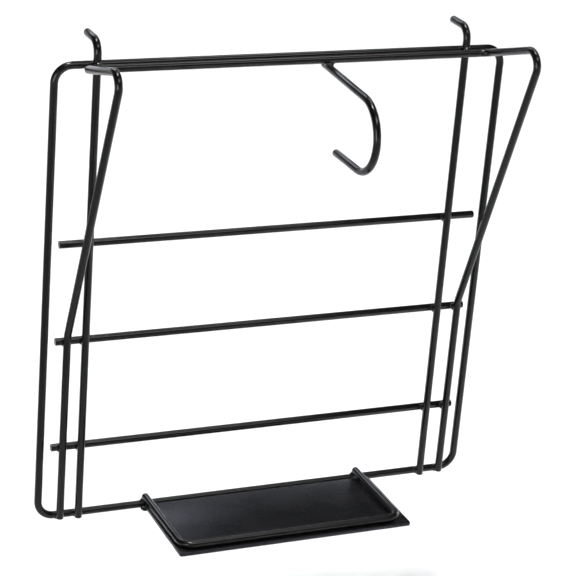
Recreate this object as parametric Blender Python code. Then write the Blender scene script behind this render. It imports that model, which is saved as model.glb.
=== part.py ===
# Wall rack for a circular saw: a welded wire frame with a tray, two side arms and a cord hook.
# Metres, +Z up, +X to the right seen from the front, -Y towards the viewer.
# The origin lies midway between the two hanging pins, on the face of the panel that they enter.

import math

import bmesh
import bpy
from mathutils import Matrix, Vector

# Wire stock, and the gap that touching pieces keep
wire_d = 0.006
clearance = 0.0003
end_chamfer = 0.0005
bevel_steps = 6
bend_step = math.radians(11.25)

# Rear frame loop: its height between wire centres, and how far its sides stand outside the arms' legs
frame_h = 0.372
frame_corner_r = 0.0135
side_offset = 0.0165

# Straight cross bars: heights above the bottom rail, and how far they pass the side arms
upper_bar_rise = 0.2312
middle_bar_rise = 0.151
lower_bar_rise = 0.0601
bar_overhang = 0.0078

# Uprights, each bent back at the top into a hanging pin. Their feet stand a little to the right of the pins.
pin_spacing = 0.3043
pin_shift = -0.0027
pin_rise = 0.019
pin_depth = 0.0165
pin_bend_r = 0.010
upright_drop = 0.0012
upright_lean = 0.0015

# Side arms and front bar, bent from one wire: how far the legs stand outside the pins, and the bends.
# The two arms weren't bent quite alike.
arm_offset = 0.01655
arm_drop = 0.0003
arm_kink_rise = 0.0062
arm_kink_r = 0.015
arm_reach = {"left": 0.0798, "right": 0.0835}
arm_apex_rise = {"left": 0.0220, "right": 0.0270}
arm_toe_in = {"left": 0.0031, "right": 0.0022}
arm_apex_r = {"left": 0.010, "right": 0.011}
front_corner_r = 0.008

# Cord hook under the front bar
hook_x = 0.0293
hook_tail = 0.0056
hook_fall_angle = math.radians(2.85)
hook_reach = 0.0933
hook_bend_r = 0.0284
hook_tip = 0.0395

# Tray: a flat plate under a bent rim wire
plate_w = 0.1993
plate_shift = 0.002
plate_depth = 0.0836
plate_t = 0.0028
plate_corner_r = 0.002
plate_edge = 0.0004
plate_rail_gap = 0.0042
rim_side_inset = 0.00605
rim_front_inset = 0.006
rim_corner_r = 0.010
rim_tail = 0.0013
rim_flare = {"left": 0.0013, "right": -0.0009}
rim_end_round = 0.0022

# Weld beads at the crossings, and fillets that fix the plate behind the rim's front run
bead_reach = 0.0040
bead_half_height = 0.0022
end_bead_growth = 1.2
bead_sectors = 16
bead_rings = 4
fillet_spacing = 0.104
fillet_length = 0.014
fillet_toe = 0.0019
fillet_climb = math.radians(40)
fillet_end_share = 0.4
fillet_sections = 5
fillet_arc_steps = 3

# Drops of weld metal between the rail and the plate's rear corners, reaching under the plate
drop_length = {"left": 0.008, "right": 0.005}
drop_inset = 0.0011
drop_climb = math.radians(8)
drop_fall = math.radians(40)
drop_lip = 0.0026
drop_belly = 0.0019
drop_rise = 0.0013
drop_end_share = 0.45
drop_arc_steps = 5
drop_belly_steps = 5

# Coats: linear colour, roughness and metallic value
wire_coat = ((0.020, 0.020, 0.022, 1.0), 0.35, 0.0)
plate_coat = ((0.026, 0.026, 0.029, 1.0), 0.45, 0.0)
weld_coat = ((0.020, 0.020, 0.022, 1.0), 0.40, 0.0)

# Places worked out from the sizes above. Wires that cross lie one layer apart.
wire_r = wire_d / 2
grown_r = wire_r + clearance
layer = wire_d + clearance
rear_y = -wire_r
middle_y = rear_y - layer
front_y = middle_y - layer
rail_z = -(frame_h + pin_rise)
top_z = rail_z + frame_h
arm_x = pin_spacing / 2 + arm_offset
side_x = arm_x + side_offset
bar_half = arm_x + bar_overhang
bar_levels = {
    "upper": rail_z + upper_bar_rise,
    "middle": rail_z + middle_bar_rise,
    "lower": rail_z + lower_bar_rise,
}
sides = {"left": -1, "right": 1}
pin_xs = {side: pin_shift + sign * pin_spacing / 2 for side, sign in sides.items()}
rim_z = rail_z + layer
plate_top = rim_z - grown_r
plate_back = rear_y - wire_r - plate_rail_gap
plate_front = plate_back - plate_depth
rim_x = plate_w / 2 - rim_side_inset
rim_front = plate_front + rim_front_inset
plate_bottom = plate_top - plate_t
wire_end_reach = wire_r - clearance

along_x = Vector((1, 0, 0))
along_y = Vector((0, 1, 0))
along_z = Vector((0, 0, 1))


def clear_scene():
    for thing in list(bpy.data.objects):
        bpy.data.objects.remove(thing, do_unlink=True)


def coat(name, values):
    """The piece's own material."""
    colour, roughness, metallic = values
    material = bpy.data.materials.new(name)
    material.use_nodes = True
    shader = material.node_tree.nodes["Principled BSDF"]
    shader.inputs["Base Color"].default_value = colour
    shader.inputs["Roughness"].default_value = roughness
    shader.inputs["Metallic"].default_value = metallic
    material.diffuse_color = colour
    return material


def place(name, data, values):
    """Put the curve or mesh into the scene as a piece of that name."""
    piece = bpy.data.objects.new(name, data)
    bpy.context.scene.collection.objects.link(piece)
    data.materials.append(coat(name, values))
    return piece


def bend(before, corner, after, radius):
    """Points of the arc that rounds a corner of a route."""
    back = (before - corner).normalized()
    onward = (after - corner).normalized()
    half = back.angle(onward) / 2
    centre = corner + (back + onward).normalized() * (radius / math.sin(half))
    spoke = corner + back * (radius / math.tan(half)) - centre
    turn = math.pi - 2 * half
    axis = onward.cross(back)
    steps = math.ceil(turn / bend_step)
    return [centre + Matrix.Rotation(turn * i / steps, 3, axis) @ spoke for i in range(steps + 1)]


def bent_route(corners, radii):
    """An open route whose inner corners are rounded, each by its own radius."""
    points = [corners[0]]
    for before, corner, after, radius in zip(corners, corners[1:], corners[2:], radii):
        points += bend(before, corner, after, radius)
    return points + [corners[-1]]


def bent_loop(corners, radius):
    """A closed route whose corners are all rounded by one radius."""
    points = []
    for i, corner in enumerate(corners):
        points += bend(corners[i - 1], corner, corners[(i + 1) % len(corners)], radius)
    return points


def wire(name, points, closed=False, end_cut=end_chamfer):
    """A round wire along the points, its cut ends chamfered or rounded off."""
    widths = [1.0] * len(points)
    if not closed:
        head = points[0] + (points[1] - points[0]).normalized() * end_cut
        tail = points[-1] + (points[-2] - points[-1]).normalized() * end_cut
        points = [points[0], head] + points[1:-1] + [tail, points[-1]]
        blunt = (wire_r - end_cut) / wire_r
        widths = [blunt] + widths + [blunt]
    curve = bpy.data.curves.new(name, "CURVE")
    curve.dimensions = "3D"
    curve.bevel_depth = wire_r
    curve.bevel_resolution = bevel_steps
    curve.use_fill_caps = True
    route = curve.splines.new("POLY")
    route.points.add(len(points) - 1)
    for knot, point, width in zip(route.points, points, widths):
        knot.co = (*point, 1)
        knot.radius = width
    route.use_cyclic_u = closed
    return place(name, curve, wire_coat)


def closed_piece(name, rows, values, ring):
    """A solid from rows of points: a ring of rows, or a stack of rows with a cap on each end."""
    form = bmesh.new()
    loops = [[form.verts.new(point) for point in row] for row in rows]
    follow = loops[1:] + loops[:1] if ring else loops[1:]
    for here, there in zip(loops, follow):
        for i in range(len(here)):
            j = (i + 1) % len(here)
            form.faces.new((here[i], here[j], there[j], there[i]))
    if not ring:
        form.faces.new(loops[0])
        form.faces.new(loops[-1])
    bmesh.ops.recalc_face_normals(form, faces=form.faces)
    mesh = bpy.data.meshes.new(name)
    form.to_mesh(mesh)
    form.free()
    mesh.shade_smooth()
    mesh.set_sharp_from_angle(angle=math.radians(35))
    return place(name, mesh, values)


def outer_frame():
    corners = [(-side_x, rail_z), (-side_x, top_z), (side_x, top_z), (side_x, rail_z)]
    route = bent_loop([Vector((x, rear_y, z)) for x, z in corners], frame_corner_r)
    return wire("outer_frame", route, closed=True)


def cross_bar(level):
    ends = [Vector((x, rear_y, bar_levels[level])) for x in (-bar_half, bar_half)]
    return wire(f"{level}_cross_bar", ends)


def upright(side):
    """A straight wire whose top is bent back into the pin."""
    pin_x = pin_xs[side]
    corners = [
        Vector((pin_x + upright_lean, middle_y, rail_z - upright_drop)),
        Vector((pin_x, middle_y, 0)),
        Vector((pin_x, pin_depth, 0)),
    ]
    return wire(f"{side}_upright", bent_route(corners, [pin_bend_r]))


def side_arm_wire():
    """Each arm: a leg on the frame, a kink, a slope forwards and a run back up to the front bar."""
    arms = {}
    for side, sign in sides.items():
        apex_x = sign * (arm_x - arm_toe_in[side])
        arms[side] = [
            Vector((sign * arm_x, middle_y, rail_z - arm_drop)),
            Vector((sign * arm_x, middle_y, bar_levels["middle"] + arm_kink_rise)),
            Vector((apex_x, front_y - arm_reach[side], top_z + arm_apex_rise[side])),
            Vector((apex_x, front_y, top_z)),
        ]
    left_radii, right_radii = [[arm_kink_r, arm_apex_r[side], front_corner_r] for side in sides]
    return wire("side_arm_wire", bent_route(arms["left"] + arms["right"][::-1], left_radii + right_radii[::-1]))


def hook_seat():
    """The hook's centre line where it passes under the front bar."""
    return Vector((hook_x, front_y, top_z - layer / math.cos(hook_fall_angle)))


def hook_course():
    """The way the hook's upper run goes towards the wall."""
    return Vector((0, math.cos(hook_fall_angle), math.sin(hook_fall_angle)))


def cord_hook():
    """An upper run that falls gently forwards, a half turn down, and a level tip back to the wall."""
    turn_y = front_y - hook_reach + hook_bend_r
    start_y = turn_y - hook_bend_r * math.sin(hook_fall_angle)
    course = hook_course()
    turn_start = hook_seat() + course * ((start_y - front_y) / course.y)
    centre = turn_start + hook_bend_r * Vector((0, math.sin(hook_fall_angle), -math.cos(hook_fall_angle)))
    turn = math.pi - hook_fall_angle
    steps = math.ceil(turn / bend_step)
    points = [hook_seat() + course * hook_tail]
    for i in range(steps + 1):
        angle = hook_fall_angle + turn * i / steps
        points.append(centre + hook_bend_r * Vector((0, -math.sin(angle), math.cos(angle))))
    points.append(points[-1] + along_y * hook_tip)
    return wire("cord_hook", points)


def tray_rim():
    """A wire on three sides of the plate, whose ends lie across the bottom rail."""
    back = rear_y + rim_tail
    left_end, right_end = [sign * (rim_x + rim_flare[side]) for side, sign in sides.items()]
    corners = [(left_end, back), (-rim_x, rim_front), (rim_x, rim_front), (right_end, back)]
    route = bent_route([Vector((x, y, rim_z)) for x, y in corners], [rim_corner_r, rim_corner_r])
    return wire("tray_rim", route, end_cut=rim_end_round)


def tray_plate():
    """A flat plate with small corner rounds and softened edges."""
    levels = [
        (plate_edge, plate_bottom),
        (0, plate_bottom + plate_edge),
        (0, plate_top - plate_edge),
        (plate_edge, plate_top),
    ]
    rows = []
    for inset, z in levels:
        left = plate_shift - plate_w / 2 + inset
        right = plate_shift + plate_w / 2 - inset
        back = plate_back - inset
        front = plate_front + inset
        corners = [(right, back), (left, back), (left, front), (right, front)]
        rows.append(bent_loop([Vector((x, y, z)) for x, y in corners], plate_corner_r - inset))
    return closed_piece("tray_plate", rows, plate_coat, ring=False)


def crossing_bead(name, first, along_first, second, along_second, end_reach=None, growth=1.0):
    """Weld metal round the place where two wires cross, in the wedge that they leave between them.

    first and second are the wires' centres there, and along_second points to the near end of the
    second wire. The bead starts where the wedge is wide enough, follows both wires at the clearance
    and thins out to an edge, at its reach all round but at end_reach towards that end.
    """
    middle = (first + second) / 2
    half_gap = (second - first).length / 2
    axes = Matrix((along_first, along_second, (second - first).normalized())).transposed()
    start = math.sqrt(grown_r**2 - (2 * half_gap - grown_r) ** 2)
    reach = bead_reach * growth
    rows = []
    for sector in range(bead_sectors):
        angle = 2 * math.pi * sector / bead_sectors
        u_part = math.cos(angle)
        v_part = math.sin(angle)
        limit = reach
        if end_reach and v_part > 0:
            limit = min(reach, end_reach / v_part)
        above = []
        below = []
        for ring in range(bead_rings + 1):
            lean = 0.5 * math.pi * ring / bead_rings
            distance = start + (limit - start) * math.sin(lean)
            crown = bead_half_height * growth * math.cos(lean)
            u = distance * u_part
            v = distance * v_part
            floor = max(math.sqrt(max(grown_r**2 - v**2, 0)) - half_gap, -crown)
            roof = min(half_gap - math.sqrt(max(grown_r**2 - u**2, 0)), crown)
            centre = (floor + roof) / 2
            half = max(roof - floor, 0) / 2
            above.append(middle + axes @ Vector((u, v, centre + half)))
            below.append(middle + axes @ Vector((u, v, centre - half)))
        rows.append(above + below[-2:0:-1])
    return closed_piece(name, rows, weld_coat, ring=True)


def plate_fillet(side, x):
    """A short bead in the groove between the plate and the rim's front run, on the wall's side."""
    root = math.asin(wire_r / grown_r)
    rows = []
    for section in range(fillet_sections):
        share = 2 * section / (fillet_sections - 1) - 1
        size = fillet_end_share + (1 - fillet_end_share) * math.cos(0.5 * math.pi * share)
        angles = [root - fillet_climb * size * i / fillet_arc_steps for i in range(fillet_arc_steps + 1)]
        outline = [(grown_r * math.cos(angle), -grown_r * math.sin(angle)) for angle in angles]
        outline.append((grown_r * math.cos(root) + fillet_toe * size, -wire_r))
        section_x = x + share * fillet_length / 2
        rows.append([Vector((section_x, rim_front + out, rim_z + up)) for out, up in outline])
    return closed_piece(f"{side}_plate_fillet", rows, weld_coat, ring=False)


def plate_corner_drop(side, x):
    """Weld metal in the slot between the rail and the plate, sagging under the plate's edge."""
    rows = []
    for section in range(fillet_sections):
        share = 2 * section / (fillet_sections - 1) - 1
        size = drop_end_share + (1 - drop_end_share) * math.cos(0.5 * math.pi * share)
        falls = [(drop_climb + drop_fall) * i / drop_arc_steps for i in range(drop_arc_steps + 1)]
        angles = [size * (drop_climb - fall) for fall in falls]
        outline = [(rear_y - grown_r * math.cos(angle), rail_z + grown_r * math.sin(angle)) for angle in angles]
        start_y, start_z = outline[-1]
        end_y = plate_back + clearance - drop_lip * size
        end_z = plate_bottom - clearance
        for i in range(1, drop_belly_steps + 1):
            part = i / drop_belly_steps
            y = start_y + (end_y - start_y) * (1 - math.cos(math.pi * part)) / 2
            sag = drop_belly * size * math.sin(math.pi * part)
            outline.append((y, start_z + (end_z - start_z) * part - sag))
        outline.append((plate_back + clearance, end_z))
        outline.append((plate_back + clearance, plate_bottom + drop_rise * size))
        section_x = x + share * drop_length[side] / 2
        rows.append([Vector((section_x, y, z)) for y, z in outline])
    return closed_piece(f"weld_{side}_plate_corner", rows, weld_coat, ring=False)


def standing_wire_beads(owner, x, lean, bars):
    """Beads where an upright or an arm's leg crosses the rear bars, and where it ends on the bottom rail.

    x is the wire's place at the pins' height, and lean is how far its foot stands to the right of that.
    """
    for level in bars:
        z = bar_levels[level]
        crossing_x = x + lean * z / rail_z
        bar = Vector((crossing_x, rear_y, z))
        standing = Vector((crossing_x, middle_y, z))
        crossing_bead(f"weld_{owner}_{level}_bar", bar, along_x, standing, -along_z)
    rail = Vector((x + lean, rear_y, rail_z))
    wire_end = Vector((x + lean, middle_y, rail_z))
    name = f"weld_{owner}_bottom_rail"
    crossing_bead(name, rail, along_x, wire_end, -along_z, end_reach=wire_end_reach, growth=end_bead_growth)


def top_beads(side):
    """Beads on the upright between the top rail behind it and the front bar before it."""
    x = pin_xs[side] + upright_lean * top_z / rail_z
    crossing = Vector((x, middle_y, top_z))
    crossing_bead(f"weld_{side}_upright_top_rail", Vector((x, rear_y, top_z)), along_x, crossing, along_z)
    crossing_bead(f"weld_{side}_upright_front_bar", Vector((x, front_y, top_z)), along_x, crossing, along_z)


def hook_bead():
    bar = Vector((hook_x, front_y, top_z))
    under = along_x.cross(hook_course())
    crossing_bead("weld_hook_front_bar", bar, along_x, bar - under * layer, hook_course())


def rim_bead(side, x):
    rail = Vector((x, rear_y, rail_z))
    rim = Vector((x, rear_y, rim_z))
    name = f"weld_{side}_rim_bottom_rail"
    crossing_bead(name, rail, along_x, rim, along_y, end_reach=wire_end_reach, growth=end_bead_growth)


clear_scene()
outer_frame()
side_arm_wire()
cord_hook()
tray_rim()
tray_plate()
hook_bead()
for bar_level in bar_levels:
    cross_bar(bar_level)
for hand, sign in sides.items():
    upright(hand)
    top_beads(hand)
    standing_wire_beads(f"{hand}_upright", pin_xs[hand], upright_lean, bar_levels)
    standing_wire_beads(f"{hand}_arm", sign * arm_x, 0, ["middle", "lower"])
    rim_bead(hand, sign * (rim_x + rim_flare[hand]))
    plate_fillet(hand, sign * fillet_spacing / 2)
    plate_corner_drop(hand, plate_shift + sign * (plate_w / 2 - drop_inset))
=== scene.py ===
# %% [markdown]
# # A wall rack for a circular saw
# The rack is bent from round steel wire, welded where the wires cross, and coated black all over. A saw
# stands on the small sheet-steel tray with its blade guard in the bay, and its cord hangs on the hook.
# We open the model that the drawing office made, and dress it: every wire gets a rounder skin, every weld
# gets its metal, and the coat gets its gloss. The model itself is never moved, so most of our numbers can
# be read from it. The rest are the bends' radii and the like, and each is named where it is needed.

import math

import bmesh
import bpy
from mathutils import Matrix, Vector, noise


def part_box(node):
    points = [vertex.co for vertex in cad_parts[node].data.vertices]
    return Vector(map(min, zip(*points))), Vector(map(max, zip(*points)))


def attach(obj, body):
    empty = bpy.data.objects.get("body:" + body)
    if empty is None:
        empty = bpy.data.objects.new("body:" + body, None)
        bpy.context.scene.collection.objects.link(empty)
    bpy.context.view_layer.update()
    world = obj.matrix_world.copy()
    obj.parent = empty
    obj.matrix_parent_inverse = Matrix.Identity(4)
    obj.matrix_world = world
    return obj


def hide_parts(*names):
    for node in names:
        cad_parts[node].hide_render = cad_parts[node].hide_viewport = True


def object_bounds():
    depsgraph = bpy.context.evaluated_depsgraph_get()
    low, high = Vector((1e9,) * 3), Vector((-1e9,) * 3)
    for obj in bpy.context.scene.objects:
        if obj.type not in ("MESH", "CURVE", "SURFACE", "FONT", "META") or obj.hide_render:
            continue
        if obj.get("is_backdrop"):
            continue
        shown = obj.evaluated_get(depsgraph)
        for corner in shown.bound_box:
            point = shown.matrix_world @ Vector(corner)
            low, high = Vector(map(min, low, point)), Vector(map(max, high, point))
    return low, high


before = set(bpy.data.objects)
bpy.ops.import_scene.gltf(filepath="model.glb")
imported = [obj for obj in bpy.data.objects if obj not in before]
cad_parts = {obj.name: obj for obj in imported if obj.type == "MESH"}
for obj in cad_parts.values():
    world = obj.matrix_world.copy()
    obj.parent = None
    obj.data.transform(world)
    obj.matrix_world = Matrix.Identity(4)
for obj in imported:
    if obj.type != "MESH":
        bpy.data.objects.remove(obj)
cad_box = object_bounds()
width, depth, height = [1000 * (high - low) for low, high in zip(*cad_box)]
print(f"{len(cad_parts)} pieces, {width:.1f} wide, {depth:.1f} deep, {height:.1f} mm high")

# %% [markdown]
# ## Camera
# The picture was taken from the left and from above, with a long lens, so the lines of the rack hardly
# run together. A camera can be placed by eye, but its place can also be worked out: when a dozen corners
# of known size are found in the picture, only one camera fits them all. These are its numbers.

# %% Camera
camera_data = bpy.data.cameras.new("camera")
camera_data.lens = 133.817
camera_data.sensor_width = 36
camera_data.shift_x = -0.00265
camera_data.shift_y = 0.01699
camera = bpy.data.objects.new("camera", camera_data)
camera.location = (-0.64794, -1.44403, 0.42991)
camera.rotation_euler = [math.radians(angle) for angle in (67.6559, -4.5024, -22.9700)]
bpy.context.scene.collection.objects.link(camera)
bpy.context.scene.camera = camera
print(f"camera {camera.location.length:.2f} m away")

# %% [markdown]
# ## Shader maths
# A finish is a small network of nodes, and sums are easier to read than links. This class wraps one
# output of a node, so that `1 - mask` or `rough + 0.1 * patch` adds the Math nodes by itself. Everything
# else comes from one method, which sets a node up, fills its sockets and hands back its output. The room
# behind the rack has such a network too, so the method belongs to any network, and a finish is one of them.

# %% Shader maths
class Grade:
    """A number that changes over the surface. Sums on it add Math nodes."""

    def __init__(self, network, socket):
        self.network = network
        self.socket = socket

    def combine(self, operation, first, second):
        return self.network.node("ShaderNodeMath", {"operation": operation}, {0: first, 1: second})

    def __add__(self, other):
        return self.combine("ADD", self, other)

    def __radd__(self, other):
        return self.combine("ADD", other, self)

    def __sub__(self, other):
        return self.combine("SUBTRACT", self, other)

    def __rsub__(self, other):
        return self.combine("SUBTRACT", other, self)

    def __mul__(self, other):
        return self.combine("MULTIPLY", self, other)

    def __rmul__(self, other):
        return self.combine("MULTIPLY", other, self)


class Network:
    """A node tree, and the means to add nodes to it."""

    def __init__(self, tree):
        self.tree = tree

    def feed(self, socket, value):
        if isinstance(value, Grade):
            self.tree.links.new(value.socket, socket)
        else:
            socket.default_value = value

    def node(self, kind, settings, sockets, output=0):
        made = self.tree.nodes.new(kind)
        for setting, value in settings.items():
            if setting == "stops":
                for stop, (place, shade) in zip(made.color_ramp.elements, value):
                    stop.position = place
                    stop.color = (shade, shade, shade, 1)
            else:
                setattr(made, setting, value)
        for socket, value in sockets.items():
            self.feed(made.inputs[socket], value)
        return Grade(self, made.outputs[output])

    def ramp(self, factor, low, high):
        """0 below low and 1 above high."""
        return self.node("ShaderNodeValToRGB", {"stops": [(low, 0), (high, 1)]}, {"Fac": factor})


class Finish(Network):
    """A material with one shader."""

    def __init__(self, name, **constants):
        self.material = bpy.data.materials.new(name)
        self.material.use_nodes = True
        super().__init__(self.material.node_tree)
        self.shader = self.tree.nodes["Principled BSDF"]
        for socket, value in constants.items():
            self.feed(self.shader.inputs[socket.replace("_", " ")], value)

    def place(self):
        """Where on the object a point is, in metres."""
        return self.node("ShaderNodeTexCoord", {}, {}, "Object")

    def speckle(self, size, detail=2.0, rough=0.5):
        """Smooth noise whose grains are about that many metres apart, from 0 to 1."""
        grain = {"Vector": self.place(), "Scale": 1 / size, "Detail": detail, "Roughness": rough}
        return self.node("ShaderNodeTexNoise", {}, grain)

    def blend(self, factor, first, second):
        """One colour going over into another."""
        return self.node("ShaderNodeMix", {"data_type": "RGBA"}, {0: factor, 6: first, 7: second}, 2)

    def bump(self, height, depth):
        """A relief that many metres deep."""
        relief = {"Height": height, "Strength": 1.0, "Distance": depth}
        return self.node("ShaderNodeBump", {}, relief)


print("shader helpers ready")

# %% [markdown]
# ## Floor
# The studio has a pale paper floor. The rack hangs by its pins when it is in use, so the floor lies a
# little below it. A larger floor would run on into the dark where no light reaches, so this one ends where
# the light does.

# %% Floor
floor_drop = 0.10
floor_half = 3.5
floor_z = cad_box[0][2] - floor_drop
floor_place = Matrix.Translation((0, 0, floor_z))
floor_form = bmesh.new()
bmesh.ops.create_grid(floor_form, x_segments=1, y_segments=1, size=floor_half, matrix=floor_place)
floor_mesh = bpy.data.meshes.new("floor")
floor_form.to_mesh(floor_mesh)
floor_form.free()
floor = bpy.data.objects.new("floor", floor_mesh)
bpy.context.scene.collection.objects.link(floor)
floor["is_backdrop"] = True
paper = Finish("studio_paper", Roughness=0.9, Specular_IOR_Level=0.1)
paper_tone = paper.blend(paper.speckle(0.8), (0.88, 0.88, 0.885, 1), (0.90, 0.90, 0.90, 1))
paper.feed(paper.shader.inputs["Base Color"], paper_tone)
floor_mesh.materials.append(paper.material)
print(f"floor at {floor_z * 1000:.1f} mm")

# %% [markdown]
# ## Room
# The room is dim above and pale near the horizon, like a studio with a low white wall. Black gloss mirrors
# all of it, so a dim ceiling is what keeps the wires black. The room could be one even grey, but then
# either the wires go grey or the view from the side goes dark. The world's own direction tells how high we
# look: its Z is 0 at the horizon and 1 overhead.

# %% Room
wall_strength = 0.70
ceiling_strength = 0.05
studio = bpy.data.worlds.new("studio")
studio.use_nodes = True
room = Network(studio.node_tree)
heading = room.node("ShaderNodeTexCoord", {}, {}, "Generated")
rise = room.node("ShaderNodeSeparateXYZ", {}, {0: heading}, "Z")
ceiling = room.ramp(rise, 0.04, 0.12)
background = studio.node_tree.nodes["Background"]
room.feed(background.inputs["Color"], (1.0, 1.0, 1.0, 1))
room.feed(background.inputs["Strength"], wall_strength - (wall_strength - ceiling_strength) * ceiling)
bpy.context.scene.world = studio
bpy.context.scene.view_settings.view_transform = "Standard"
print(f"room: {wall_strength} at the horizon, {ceiling_strength} overhead")

# %% [markdown]
# ## Light
# Black gloss shows little of its own colour: what we see on a wire is the room, squeezed into thin lines
# along it. So nearly every panel of light is there for a line or a glint, and was placed by following the
# line of sight off the wire and out into the room. A narrow wash from above makes the floor white behind
# the rack, which is all the floor that the camera sees, and the floor close in front stays dimmer, which
# keeps the middles of the upright wires dark. Weaker washes at the sides, far out in front and at the back
# keep the studio pale when we walk round the rack. Some of the panels behind are a little cool. They lie
# mirrored in the tray, lighter at its left than at its right.

# %% Panels of light
def panel(name, place, target, size, brightness, spread=180, tint=(1.0, 1.0, 1.0)):
    """A rectangular light that looks at the target and isn't seen by the camera itself.

    Its brightness is that of its surface. A narrow spread gathers the same light into a beam.
    """
    data = bpy.data.lights.new(name, "AREA")
    data.shape = "RECTANGLE"
    data.size = size[0]
    data.size_y = size[1]
    data.energy = brightness * math.pi * size[0] * size[1]
    data.spread = math.radians(spread)
    data.color = tint
    light = bpy.data.objects.new(name, data)
    light.location = place
    light.rotation_euler = (Vector(target) - Vector(place)).to_track_quat("-Z", "Y").to_euler()
    light.visible_camera = False
    bpy.context.scene.collection.objects.link(light)
    return light


centre = (0, -0.04, -0.2)
cool = (0.84, 0.88, 1.0)
panel("floor_wash", (0.82, 1.26, 2.3), (0.82, 1.26, 0), (2.4, 2.95), 0.83, spread=16)
panel("front_right_wash", (0.55, -0.75, 1.9), (0.55, -0.75, 0), (0.7, 0.9), 2.0, spread=24)
panel("left_wash", (-2.4, 0.9, 2.3), (-2.4, 0.9, 0), (2.6, 4.8), 0.65, spread=30)
panel("front_wash", (0, -2.6, 2.3), (0, -2.6, 0), (7.2, 2.0), 0.6, spread=36)
panel("right_wash", (2.6, 0, 2.3), (2.6, 0, 0), (1.9, 5.6), 0.6, spread=30)
panel("back_wash", (0, 3.1, 2.3), (0, 3.1, 0), (7.2, 0.9), 0.7, spread=30)
panel("horizon_panel", (0.8, 3.2, -0.08), (0.2, 0, -0.08), (3.6, 0.75), 0.9, tint=cool)
panel("back_left_panel", (-0.35, 1.9, 0.95), centre, (0.5, 0.5), 5.0, tint=cool)
panel("back_middle_panel", (0.3, 1.9, 0.8), centre, (0.6, 0.5), 2.0, tint=cool)
panel("back_top_panel", (-0.1, 1.6, 1.5), centre, (1.0, 0.4), 6.0)
panel("overhead_panel", (0.45, 0.42, 1.05), (0, 0, 0), (0.5, 0.4), 4.5)
panel("front_top_panel", (0.26, -1.15, 1.3), (0.1, -0.04, -0.05), (1.5, 0.45), 1.3, spread=80)
panel("left_key_panel", (-1.27, -1.22, 0.17), (0, -0.04, 0.1), (0.85, 0.8), 0.95, spread=65)
panel("right_panel", (2.2, -1.2, 0.2), centre, (0.9, 1.2), 1.0)
panel("right_back_panel", (2.2, 0.9, 0.3), centre, (0.6, 0.8), 4.0)

# %% [markdown]
# ## The black coat
# The welded rack is powder coated and comes out with an even satin gloss. A very fine orange-peel relief
# and patches where it set a little duller keep such a coat from looking like plastic film. The cut end
# faces are painted grey in speckled patches and made rougher: a painted reflection of the bright room.
# The wire marks its end faces through an attribute of its mesh, which is 1 on the cut and 0 elsewhere.

# %% Wire coat
coat_ior = 1.46
black_tone = (0.0030, 0.0028, 0.0027)
# painted reflection: the grey that the cut end faces are painted in patches
reflection_grey = (0.085, 0.085, 0.09, 1)


def black_coat(name, tone, peel_size, peel_depth, gloss, dullness):
    """The black coat, with its relief, its duller patches and a painted grey reflection on its cut ends."""
    coat = Finish(name, IOR=coat_ior, Specular_IOR_Level=0.4)
    patch = coat.ramp(coat.speckle(0.021, 3.0), 0.35, 0.7)
    fine = coat.speckle(0.0009, 2.0)
    # the cut end faces, painted grey in speckled patches: a painted reflection
    end_mark = coat.node("ShaderNodeAttribute", {"attribute_name": "cut_end_face"}, {}, "Fac")
    painted_end_reflection = coat.ramp(end_mark * (0.35 + 0.65 * coat.speckle(0.0012)), 0.3, 0.62)
    black = coat.blend(patch, (*tone, 1), (*[1.35 * part for part in tone], 1))
    coat.feed(coat.shader.inputs["Base Color"], coat.blend(painted_end_reflection, black, reflection_grey))
    coat.feed(coat.shader.inputs["Roughness"], gloss + dullness * patch + 0.05 * fine + 0.12 * painted_end_reflection)
    coat.feed(coat.shader.inputs["Normal"], coat.bump(coat.speckle(peel_size, 2.0, 0.4), peel_depth))
    return coat.material


wire_black = black_coat("black_wire_coat", black_tone, 0.0016, 0.000012, 0.16, 0.05)
print(f"{wire_black.name}: {len(wire_black.node_tree.nodes)} nodes")

# %% [markdown]
# ## A wire bender
# The real wires are bent on a machine that knows two moves: it feeds the wire straight on, or it turns it
# about a round former. A curve with a bevel would give a tube as well, but then the bends' radii are
# guesses. Here a ring of vertices is the wire's end: an extrusion feeds it on, and a spin about the
# former's axis bends it, so each bend is a true arc with the former's radius. Wires that cross lie one
# layer apart: a wire's thickness, and the 0.3 mm that the welds fill.

# %% The bender
wire_r = 0.003
wire_sides = 40
steps_per_turn = 96
layer = 2 * wire_r + 0.0003


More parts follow.
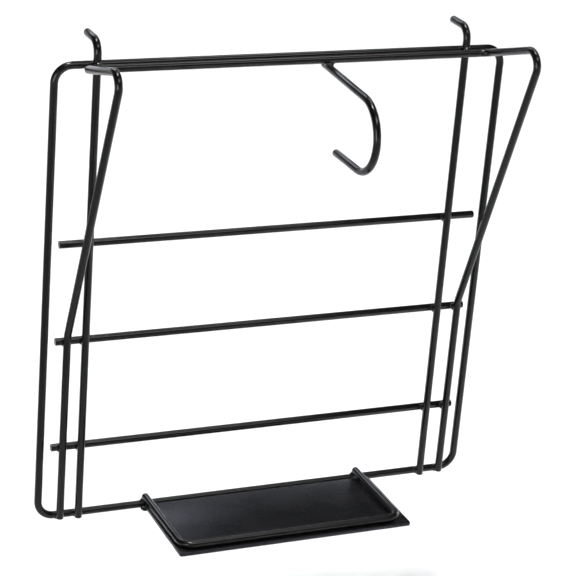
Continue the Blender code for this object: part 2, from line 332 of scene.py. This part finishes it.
class Bender:
    """A wire on the bender. It keeps the ring that is its moving end, that end's place and its heading."""

    def __init__(self, start, heading, closed=False):
        self.form = bmesh.new()
        # marks the cut end faces, which the coat paints with a grey reflection
        self.end_mark = self.form.verts.layers.float.new("cut_end_face")
        self.at = Vector(start)
        self.heading = Vector(heading).normalized()
        self.closed = closed
        self.length = 0.0
        place = Matrix.Translation(self.at) @ self.heading.to_track_quat("Z", "Y").to_matrix().to_4x4()
        bmesh.ops.create_circle(
            self.form, cap_ends=not closed, segments=wire_sides, radius=wire_r, matrix=place
        )
        self.ring = list(self.form.edges)

    def feed(self, length):
        """Pushes the wire straight on."""
        made = bmesh.ops.extrude_edge_only(self.form, edges=self.ring)["geom"]
        moved = [part for part in made if isinstance(part, bmesh.types.BMVert)]
        bmesh.ops.translate(self.form, verts=moved, vec=self.heading * length)
        self.ring = [part for part in made if isinstance(part, bmesh.types.BMEdge)]
        self.at += self.heading * length
        self.length += length

    def turn(self, new_heading, former_r, angle=None):
        """Bends towards the new heading, about a former whose radius is measured to the wire's middle."""
        axis = self.heading.cross(new_heading).normalized()
        angle = angle or self.heading.angle(new_heading)
        hub = self.at + axis.cross(self.heading) * former_r
        made = bmesh.ops.spin(
            self.form,
            geom=self.ring,
            cent=hub,
            axis=axis,
            dvec=(0, 0, 0),
            angle=angle,
            space=Matrix(),
            steps=max(2, math.ceil(steps_per_turn * angle / math.tau)),
            use_merge=False,
            use_normal_flip=False,
            use_duplicate=False,
        )["geom_last"]
        self.ring = [part for part in made if isinstance(part, bmesh.types.BMEdge)]
        swing = Matrix.Rotation(angle, 3, axis)
        self.at = hub + swing @ (self.at - hub)
        self.heading = swing @ self.heading
        self.length += former_r * angle

    def run(self, corners, radii):
        """Feeds and turns through the corners to the last point."""
        for corner, after, former_r in zip(corners, corners[1:], radii):
            onward = (after - corner).normalized()
            setback = former_r * math.tan(self.heading.angle(onward) / 2)
            self.feed((corner - self.at).length - setback)
            self.turn(onward, former_r)
        self.feed((corners[-1] - self.at).length)
        return self


print(f"wire of {wire_r * 2000:.0f} mm, {wire_sides} sides, layers {layer * 1000:.1f} mm apart")

# %% [markdown]
# ## Cutting the ends and closing a loop
# A loop's last ring lies on its first, so their vertices are merged. An open wire is cut off, which
# leaves a flat end whose edge is broken by tumbling and then softened by the coat: a small bevel on the
# edge of the end face. The same step marks the cut for the finish. Every finished form is then dressed:
# it becomes a piece that rides on the rack's body and stands for its node of the model.

# %% Ends and pieces
sharp_angle = math.radians(40)
butt_gap = 0.00001


def dress(form, node, finish):
    """Turns a form into a finished piece that stands for that node of the model."""
    name = f"{node}_skin"
    bmesh.ops.recalc_face_normals(form, faces=form.faces)
    mesh = bpy.data.meshes.new(name)
    form.to_mesh(mesh)
    form.free()
    mesh.shade_smooth()
    mesh.set_sharp_from_angle(angle=sharp_angle)
    mesh.materials.append(finish)
    piece = bpy.data.objects.new(name, mesh)
    bpy.context.scene.collection.objects.link(piece)
    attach(piece, "root")
    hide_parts(node)
    return piece


def cut_wire(wire, name, edge=0.0005, steps=3):
    """Closes the wire, softens its cut ends and puts it in the place of its node."""
    form = wire.form
    if wire.closed:
        bmesh.ops.remove_doubles(form, verts=form.verts, dist=butt_gap)
    else:
        bmesh.ops.edgeloop_fill(form, edges=wire.ring)
        ends = [face for face in form.faces if len(face.verts) == wire_sides]
        rims = [line for face in ends for line in face.edges]
        bmesh.ops.bevel(
            form, geom=rims, offset=edge, segments=steps, profile=0.5, affect="EDGES", material=-1
        )
        # the end faces get the mark for the painted grey reflection
        for face in form.faces:
            if len(face.verts) == wire_sides:
                for corner in face.verts:
                    corner[wire.end_mark] = 1.0
    print(f"{name}: cut length {wire.length * 1000:.0f} mm")
    return dress(form, name, wire_black)


print(f"edges over {math.degrees(sharp_angle):.0f} degrees stay sharp")

# %% [markdown]
# ## The rear frame
# One wire makes the loop at the back. It starts and ends in the middle of the bottom rail, where its ends
# are butted and welded on the real rack. Its size is read from the model's own box, less half a wire.

# %% Rear frame
low, high = [Vector(corner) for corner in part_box("outer_frame")]
rear_y = (low.y + high.y) / 2
side_x = high.x - wire_r
rail_z = low.z + wire_r
top_z = high.z - wire_r
frame_corner_r = 0.0135
corners = [(-side_x, rail_z), (-side_x, top_z), (side_x, top_z), (side_x, rail_z), (0, rail_z)]
rear_frame = Bender((0, rear_y, rail_z), (-1, 0, 0), closed=True)
rear_frame.run([Vector((x, rear_y, z)) for x, z in corners], [frame_corner_r] * 4)
cut_wire(rear_frame, "outer_frame")

# %% [markdown]
# ## Straight cross bars
# Three straight wires cross the frame and stick out a little past the side arms. They are the simplest
# job for the bender: one feed, two cut ends.

# %% Cross bars
for level in ("upper", "middle", "lower"):
    low, high = [Vector(corner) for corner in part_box(f"{level}_cross_bar")]
    bar = Bender((low.x, (low.y + high.y) / 2, (low.z + high.z) / 2), (1, 0, 0))
    bar.feed(high.x - low.x)
    cut_wire(bar, f"{level}_cross_bar")

# %% [markdown]
# ## Uprights with their hanging pins
# Each upright stands in front of the bars, and its top is bent back into the pin that enters the panel.
# It leans by a millimetre or two, so its box tells both places: the pin is at the left side, the foot at
# the right. The pin's end gets the same broken edge, so that it finds its hole.

# %% Uprights
pin_bend_r = 0.010
sides = {"left": -1, "right": 1}
for side in sides:
    low, high = [Vector(corner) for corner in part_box(f"{side}_upright")]
    pin_x, foot_x = low.x + wire_r, high.x - wire_r
    y = low.y + wire_r
    pin_z = high.z - wire_r
    foot = Vector((foot_x, y, low.z))
    top = Vector((pin_x, y, pin_z))
    upright = Bender(foot, top - foot)
    upright.run([top, Vector((pin_x, high.y, pin_z))], [pin_bend_r])
    cut_wire(upright, f"{side}_upright")

# %% [markdown]
# ## The side arms
# The two arms and the front bar between them are one wire with six bends. From a leg on the frame it
# leans forwards above the middle bar, turns sharply at its point, runs back and down to the front bar, and
# does the same on the other side. The two sides weren't bent quite alike: the left point stands 5 mm
# lower. So each side has its own numbers, and its corners are worked out from them.

# %% Side arms
middle_y = rear_y - layer
front_y = middle_y - layer
low, high = [Vector(corner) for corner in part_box("side_arm_wire")]
arm_x = high.x - wire_r
middle_bar_rise = 0.151
kink_rise = 0.0062
kink_z = rail_z + middle_bar_rise + kink_rise
kink_r = 0.015
front_corner_r = 0.008
point_r = {"left": 0.010, "right": 0.011}
arm_reach = {"left": 0.0798, "right": 0.0835}
arm_rise = {"left": 0.0220, "right": 0.0270}
arm_toe_in = {"left": 0.0031, "right": 0.0022}
arm_corners = {}
for side, sign in sides.items():
    point_x = sign * (arm_x - arm_toe_in[side])
    arm_corners[side] = [
        Vector((sign * arm_x, middle_y, low.z)),
        Vector((sign * arm_x, middle_y, kink_z)),
        Vector((point_x, front_y - arm_reach[side], top_z + arm_rise[side])),
        Vector((point_x, front_y, top_z)),
    ]
left_radii = [kink_r, point_r["left"], front_corner_r]
right_radii = [front_corner_r, point_r["right"], kink_r]
arms = Bender(arm_corners["left"][0], (0, 0, 1))
arms.run(arm_corners["left"][1:] + arm_corners["right"][::-1], left_radii + right_radii)
cut_wire(arms, "side_arm_wire")

# %% [markdown]
# ## The cord hook
# The hook is welded under the front bar. It falls gently forwards, turns back on itself in a half circle
# and ends in a level tip, so that a coiled lead can't slide off. A half turn has no corner to aim at, so
# here the bender is told its angle.

# %% Cord hook
low, high = [Vector(corner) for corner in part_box("cord_hook")]
hook_x = (low.x + high.x) / 2
hook_fall = math.radians(2.85)
hook_bend_r = 0.0284
hook_tail = 0.0088
hook_tip = 0.0395
course = Vector((0, -math.cos(hook_fall), -math.sin(hook_fall)))
seat = Vector((hook_x, front_y, top_z - layer / math.cos(hook_fall)))
turn_y = low.y + wire_r + hook_bend_r - hook_bend_r * math.sin(hook_fall)
turn_start = seat + course * ((turn_y - seat.y) / course.y)
hook = Bender(seat - course * hook_tail, course)
hook.feed((turn_start - hook.at).length)
hook.turn(Vector((0, course.z, -abs(course.y))), hook_bend_r, math.pi - hook_fall)
hook.feed(hook_tip)
cut_wire(hook, "cord_hook")

# %% [markdown]
# ## The tray's rim
# A wire goes round three sides of the tray and keeps the saw's shoe from sliding off. Its two ends lie
# across the bottom rail, both about a millimetre farther left than its front corners. They are rounded
# well over, because a hand reaches past them.

# %% Tray rim
low, high = [Vector(corner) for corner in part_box("tray_rim")]
rim_x = 0.0936
rim_z = (low.z + high.z) / 2
rim_front = low.y + wire_r
rim_tail = 0.0013
rim_corner_r = 0.010
rim_lean = {"left": 0.0013, "right": 0.0009}
rim_end_y = rear_y + rim_tail
rim_ends = {"left": -rim_x - rim_lean["left"], "right": rim_x - rim_lean["right"]}
corners = [
    Vector((rim_ends["left"], rim_end_y, rim_z)),
    Vector((-rim_x, rim_front, rim_z)),
    Vector((rim_x, rim_front, rim_z)),
    Vector((rim_ends["right"], rim_end_y, rim_z)),
]
rim = Bender(corners[0], corners[1] - corners[0])
rim.run(corners[1:], [rim_corner_r] * 2)
cut_wire(rim, "tray_rim", edge=0.0016, steps=8)

# %% [markdown]
# ## The tray's plate
# The plate is cut from sheet, so its faces are flat, its corners have a small round and its edges are
# only broken. One square is stretched to the plate's size and extruded to its thickness. The four upright
# edges are bevelled first, and the long edges round the top and bottom after them.

# %% Tray plate
plate_corner_r = 0.002
plate_edge = 0.0004


def climb(edge):
    """How far an edge rises or falls from end to end."""
    return abs(edge.verts[0].co.z - edge.verts[1].co.z)


low, high = [Vector(corner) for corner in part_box("tray_plate")]
size = high - low
plate = bmesh.new()
bmesh.ops.create_grid(plate, x_segments=1, y_segments=1, size=0.5)
bmesh.ops.scale(plate, verts=plate.verts, vec=(size.x, size.y, 1))
bmesh.ops.translate(plate, verts=plate.verts, vec=((low.x + high.x) / 2, (low.y + high.y) / 2, low.z))
sheet = bmesh.ops.extrude_face_region(plate, geom=list(plate.faces))["geom"]
raised = [part for part in sheet if isinstance(part, bmesh.types.BMVert)]
bmesh.ops.translate(plate, verts=raised, vec=(0, 0, size.z))
for stands, radius, steps in ((True, plate_corner_r, 8), (False, plate_edge, 3)):
    chosen = [edge for edge in plate.edges if (climb(edge) > size.z / 2) == stands]
    bmesh.ops.bevel(
        plate, geom=chosen, offset=radius, segments=steps, profile=0.5, affect="EDGES", material=-1
    )
print(f"plate {size.x * 1000:.1f} x {size.y * 1000:.1f} x {size.z * 1000:.1f} mm, {len(plate.faces)} faces")

# %% [markdown]
# ## The plate's coat
# The plate carries the same black, but a flat face shows what a thin wire hides: the sheet's own faint
# waviness, and soft patches where the film is a little duller. Its gloss is tinted slightly towards blue,
# as the tray's is in the picture.

# %% Plate coat
sheet_tint = (0.86, 0.88, 1.0, 1)
plate_coat = Finish("black_plate_coat", IOR=coat_ior, Specular_IOR_Level=0.45, Specular_Tint=sheet_tint)
patch = plate_coat.ramp(plate_coat.speckle(0.035, 3.0), 0.35, 0.7)
fine = plate_coat.speckle(0.0009, 2.0)
black = plate_coat.blend(patch, (0.0036, 0.0036, 0.0041, 1), (0.0050, 0.0050, 0.0056, 1))
plate_coat.feed(plate_coat.shader.inputs["Base Color"], black)
plate_coat.feed(plate_coat.shader.inputs["Roughness"], 0.24 + 0.05 * patch + 0.04 * fine)
wave = plate_coat.speckle(0.05, 1.0)
peel = plate_coat.speckle(0.0018, 2.0, 0.4)
plate_coat.feed(plate_coat.shader.inputs["Normal"], plate_coat.bump(0.93 * wave + 0.07 * peel, 0.00025))
dress(plate, "tray_plate", plate_coat.material)
print(f"{plate_coat.material.name}: {len(plate_coat.tree.nodes)} nodes")

# %% [markdown]
# ## Welds where wires cross
# Where two wires touch, the weld has drawn metal into the wedge between them, and the coat has rounded it
# off into a hollow fillet. Such a saddle is hard to draw face by face. It is easier to let it form: two
# short stubs, which lie hidden inside the wires, and a flattened lump between them are remeshed into one
# skin, and smoothing that skin pulls a hollow curve from one wire to the other, just as surface tension
# does. Only the fillet stands out of the wires.

# %% Weld
weld_reach = 0.0040
weld_half_height = 0.0022
weld_grain = 0.00032
weld_passes = 24
stub_half = 0.006
ripple = 0.0004
ripples_per_metre = 420


def stub(form, middle, along, back, forth, radius):
    """A short round bar along a wire, from back behind the middle to forth before it."""
    turn = along.to_track_quat("Z", "Y").to_matrix().to_4x4()
    place = Matrix.Translation(middle + along * (forth - back) / 2) @ turn
    long = back + forth
    bmesh.ops.create_cone(
        form, cap_ends=True, segments=32, radius1=radius, radius2=radius, depth=long, matrix=place
    )


def lump(form, middle, first, second, third, sizes, seed):
    """A flattened drop of metal with an uneven skin."""
    stretch = Matrix((first * sizes[0], second * sizes[1], third * sizes[2])).transposed().to_4x4()
    place = Matrix.Translation(middle) @ stretch
    ball = bmesh.ops.create_uvsphere(form, u_segments=32, v_segments=16, radius=1, matrix=place)
    for point in ball["verts"]:
        away = (point.co - middle).normalized()
        point.co += away * ripple * noise.noise(point.co * ripples_per_metre + Vector((seed, 0, 0)))


def one_skin(form, grain, passes):
    """Remeshes overlapping bodies into one closed skin and smooths it."""
    rough = bpy.data.meshes.new("rough")
    form.to_mesh(rough)
    form.free()
    carrier = bpy.data.objects.new("carrier", rough)
    bpy.context.scene.collection.objects.link(carrier)
    remesh = carrier.modifiers.new("one_skin", "REMESH")
    remesh.mode = "VOXEL"
    remesh.voxel_size = grain
    fused = bpy.data.meshes.new_from_object(carrier.evaluated_get(bpy.context.evaluated_depsgraph_get()))
    bpy.data.objects.remove(carrier)
    skin = bmesh.new()
    skin.from_mesh(fused)
    for _ in range(passes):
        bmesh.ops.smooth_vert(
            skin, verts=skin.verts, factor=0.5, use_axis_x=True, use_axis_y=True, use_axis_z=True
        )
    return skin


weld_black = black_coat("black_weld_coat", black_tone, 0.0011, 0.00002, 0.21, 0.06)
weld_count = 0


def weld(node, first, along_first, second, along_second, forth=1.0, growth=1.0):
    """A weld between two crossing wires. The second may end close by, forth metres past the crossing."""
    global weld_count
    weld_count += 1
    middle = (first + second) / 2
    across = (second - first).normalized()
    form = bmesh.new()
    stub(form, first, along_first, stub_half, stub_half, wire_r)
    stub(form, second, along_second, stub_half, min(stub_half, forth - 0.0004), wire_r)
    full = weld_reach * growth
    reach = wire_r - 0.0003 if forth < full else full
    heart = middle + along_second * (reach - full) / 2
    sizes = (full, (full + reach) / 2, weld_half_height * growth)
    lump(form, heart, along_first, along_second, across, sizes, weld_count)
    return dress(one_skin(form, weld_grain, weld_passes), node, weld_black)


print("weld helpers ready")

# %% [markdown]
# ## Every crossing
# The uprights and the arms' legs cross the bars and end on the bottom rail. At the top each upright
# passes between the rear frame and the front bar, so it has a weld on both faces. The rim and the hook
# have one each.

# %% Welds of the standing wires
along_x = Vector((1, 0, 0))
along_y = Vector((0, 1, 0))
along_z = Vector((0, 0, 1))
end_growth = 1.2
level_z = {}
for level in ("upper", "middle", "lower"):
    low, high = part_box(f"{level}_cross_bar")
    level_z[level] = (low[2] + high[2]) / 2
standing = {}
for side in sides:
    low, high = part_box(f"{side}_upright")
    standing[f"{side}_upright"] = (low[0] + wire_r, high[0] - wire_r, low[2], ["upper", "middle", "lower"])
arm_end_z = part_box("side_arm_wire")[0][2]
standing["left_arm"] = (-arm_x, -arm_x, arm_end_z, ["middle", "lower"])
standing["right_arm"] = (arm_x, arm_x, arm_end_z, ["middle", "lower"])
for owner, (pin_x, foot_x, end_z, levels) in standing.items():
    for level in levels:
        x = pin_x + (foot_x - pin_x) * level_z[level] / rail_z
        bar_point = Vector((x, rear_y, level_z[level]))
        wire_point = Vector((x, middle_y, level_z[level]))
        weld(f"weld_{owner}_{level}_bar", bar_point, along_x, wire_point, -along_z)
    rail_point = Vector((foot_x, rear_y, rail_z))
    foot = Vector((foot_x, middle_y, rail_z))
    weld(f"weld_{owner}_bottom_rail", rail_point, along_x, foot, -along_z, rail_z - end_z, end_growth)
print(f"{weld_count} welds so far")

# %% Welds at the top, the rim and the hook
for side in sides:
    x = standing[f"{side}_upright"][0]
    crossing = Vector((x, middle_y, top_z))
    weld(f"weld_{side}_upright_top_rail", Vector((x, rear_y, top_z)), along_x, crossing, along_z)
    weld(f"weld_{side}_upright_front_bar", Vector((x, front_y, top_z)), along_x, crossing, along_z)
for side, x in rim_ends.items():
    rail_point = Vector((x, rear_y, rail_z))
    rim_point = Vector((x, rear_y, rim_z))
    weld(f"weld_{side}_rim_bottom_rail", rail_point, along_x, rim_point, along_y, rim_tail, end_growth)
bar_point = Vector((hook_x, front_y, top_z))
hook_point = bar_point - along_x.cross(-course) * layer
weld("weld_hook_front_bar", bar_point, along_x, hook_point, -course)
print(f"{weld_count} welds")

# %% [markdown]
# ## Tack welds behind the rim
# Two short tacks hold the plate under the rim's front run, on the side where the saw stands. A welder
# lays such a tack as a few drops that run into each other, so it is made the same way: a row of drops in
# the groove, with a piece of the rim and a piece of the plate inside them. Both pieces are a shade smaller
# than the real rim and plate, so that they stay hidden and only the metal between them shows.

# %% Tack welds
drop_grain = 0.0003
drop_passes = 10
tack_drops = 5
tack_size = (0.0021, 0.0018, 0.0018)
tack_end = 0.002
tack_lean = 0.0019
tack_seed = 40
stub_skin = 0.0002
tack_sheet = (0.012, 0.002)
tack_sheet_at = (0.002, -0.0011)
plate_low, plate_high = [Vector(corner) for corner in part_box("tray_plate")]
for number, side in enumerate(sides):
    low, high = [Vector(corner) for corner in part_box(f"{side}_plate_fillet")]
    form = bmesh.new()
    middle = Vector(((low.x + high.x) / 2, rim_front, rim_z))
    half = (high.x - low.x) / 2
    stub(form, middle, along_x, half, half, wire_r - stub_skin)
    sheet_y = rim_front + tack_sheet_at[0]
    sheet_z = plate_high.z + tack_sheet_at[1]
    sheet_middle = Matrix.Translation((middle.x, sheet_y, sheet_z))
    sheet_size = Matrix.Diagonal((2 * half, *tack_sheet, 1))
    bmesh.ops.create_cube(form, size=1, matrix=sheet_middle @ sheet_size)
    for drop in range(tack_drops):
        x = low.x + tack_end + drop * (2 * half - 2 * tack_end) / (tack_drops - 1)
        heart = Vector((x, rim_front + tack_lean, rim_z - tack_lean))
        lump(form, heart, along_x, along_y, along_z, tack_size, tack_seed + 10 * number + drop)
    dress(one_skin(form, drop_grain, drop_passes), f"{side}_plate_fillet", weld_black)
print(f"{len(sides)} tacks of {tack_drops} drops")

# %% [markdown]
# ## Drops at the plate's corners
# The plate's rear edge doesn't reach the rail. At each rear corner the slot is filled with weld metal,
# and the drop has sagged under the plate before it set. A piece of the rail, a corner of the plate and
# one fat lump are enough to show it.

# %% Corner drops
sheet_inset = 0.0002
sheet_depth = 0.0036
sheet_back = 0.002
sheet_skin = 0.0003
drop_seed = 70
drop_forward = 0.0004
drop_height = 0.0022
drop_overlap = 0.0003
drop_half_height = 0.0021
for number, (side, sign) in enumerate(sides.items()):
    low, high = [Vector(corner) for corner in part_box(f"weld_{side}_plate_corner")]
    middle = (low + high) / 2
    size = high - low
    form = bmesh.new()
    stub(form, Vector((middle.x, rear_y, rail_z)), along_x, size.x / 2, size.x / 2, wire_r - stub_skin)
    corner_x = plate_low.x if side == "left" else plate_high.x
    inner_x = middle.x - sign * size.x / 2
    sheet_x = (corner_x + inner_x) / 2 - sign * sheet_inset
    sheet_z = (plate_low.z + plate_high.z) / 2
    sheet_middle = Matrix.Translation((sheet_x, plate_high.y - sheet_back, sheet_z))
    sheet_long = abs(corner_x - inner_x) - 2 * sheet_inset
    sheet_thick = plate_high.z - plate_low.z - 2 * sheet_skin
    sheet_size = Matrix.Diagonal((sheet_long, sheet_depth, sheet_thick, 1))
    bmesh.ops.create_cube(form, size=1, matrix=sheet_middle @ sheet_size)
    heart = Vector((middle.x, middle.y - drop_forward, low.z + drop_height))
    drop_size = (size.x / 2, size.y / 2 + drop_overlap, drop_half_height)
    lump(form, heart, along_x, along_y, along_z, drop_size, drop_seed + number)
    dress(one_skin(form, drop_grain, drop_passes), f"weld_{side}_plate_corner", weld_black)
print(f"{len(sides)} corner drops")

# %% [markdown]
# ## Sizes
# Both boxes, the model's and the dressed rack's, are printed side by side. The dressed
# rack may not be larger than the model.

# %% Sizes
visual_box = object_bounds()
for label, box in (("model", cad_box), ("dressed", visual_box)):
    print(label, [[round(value * 1000, 1) for value in corner] for corner in box])
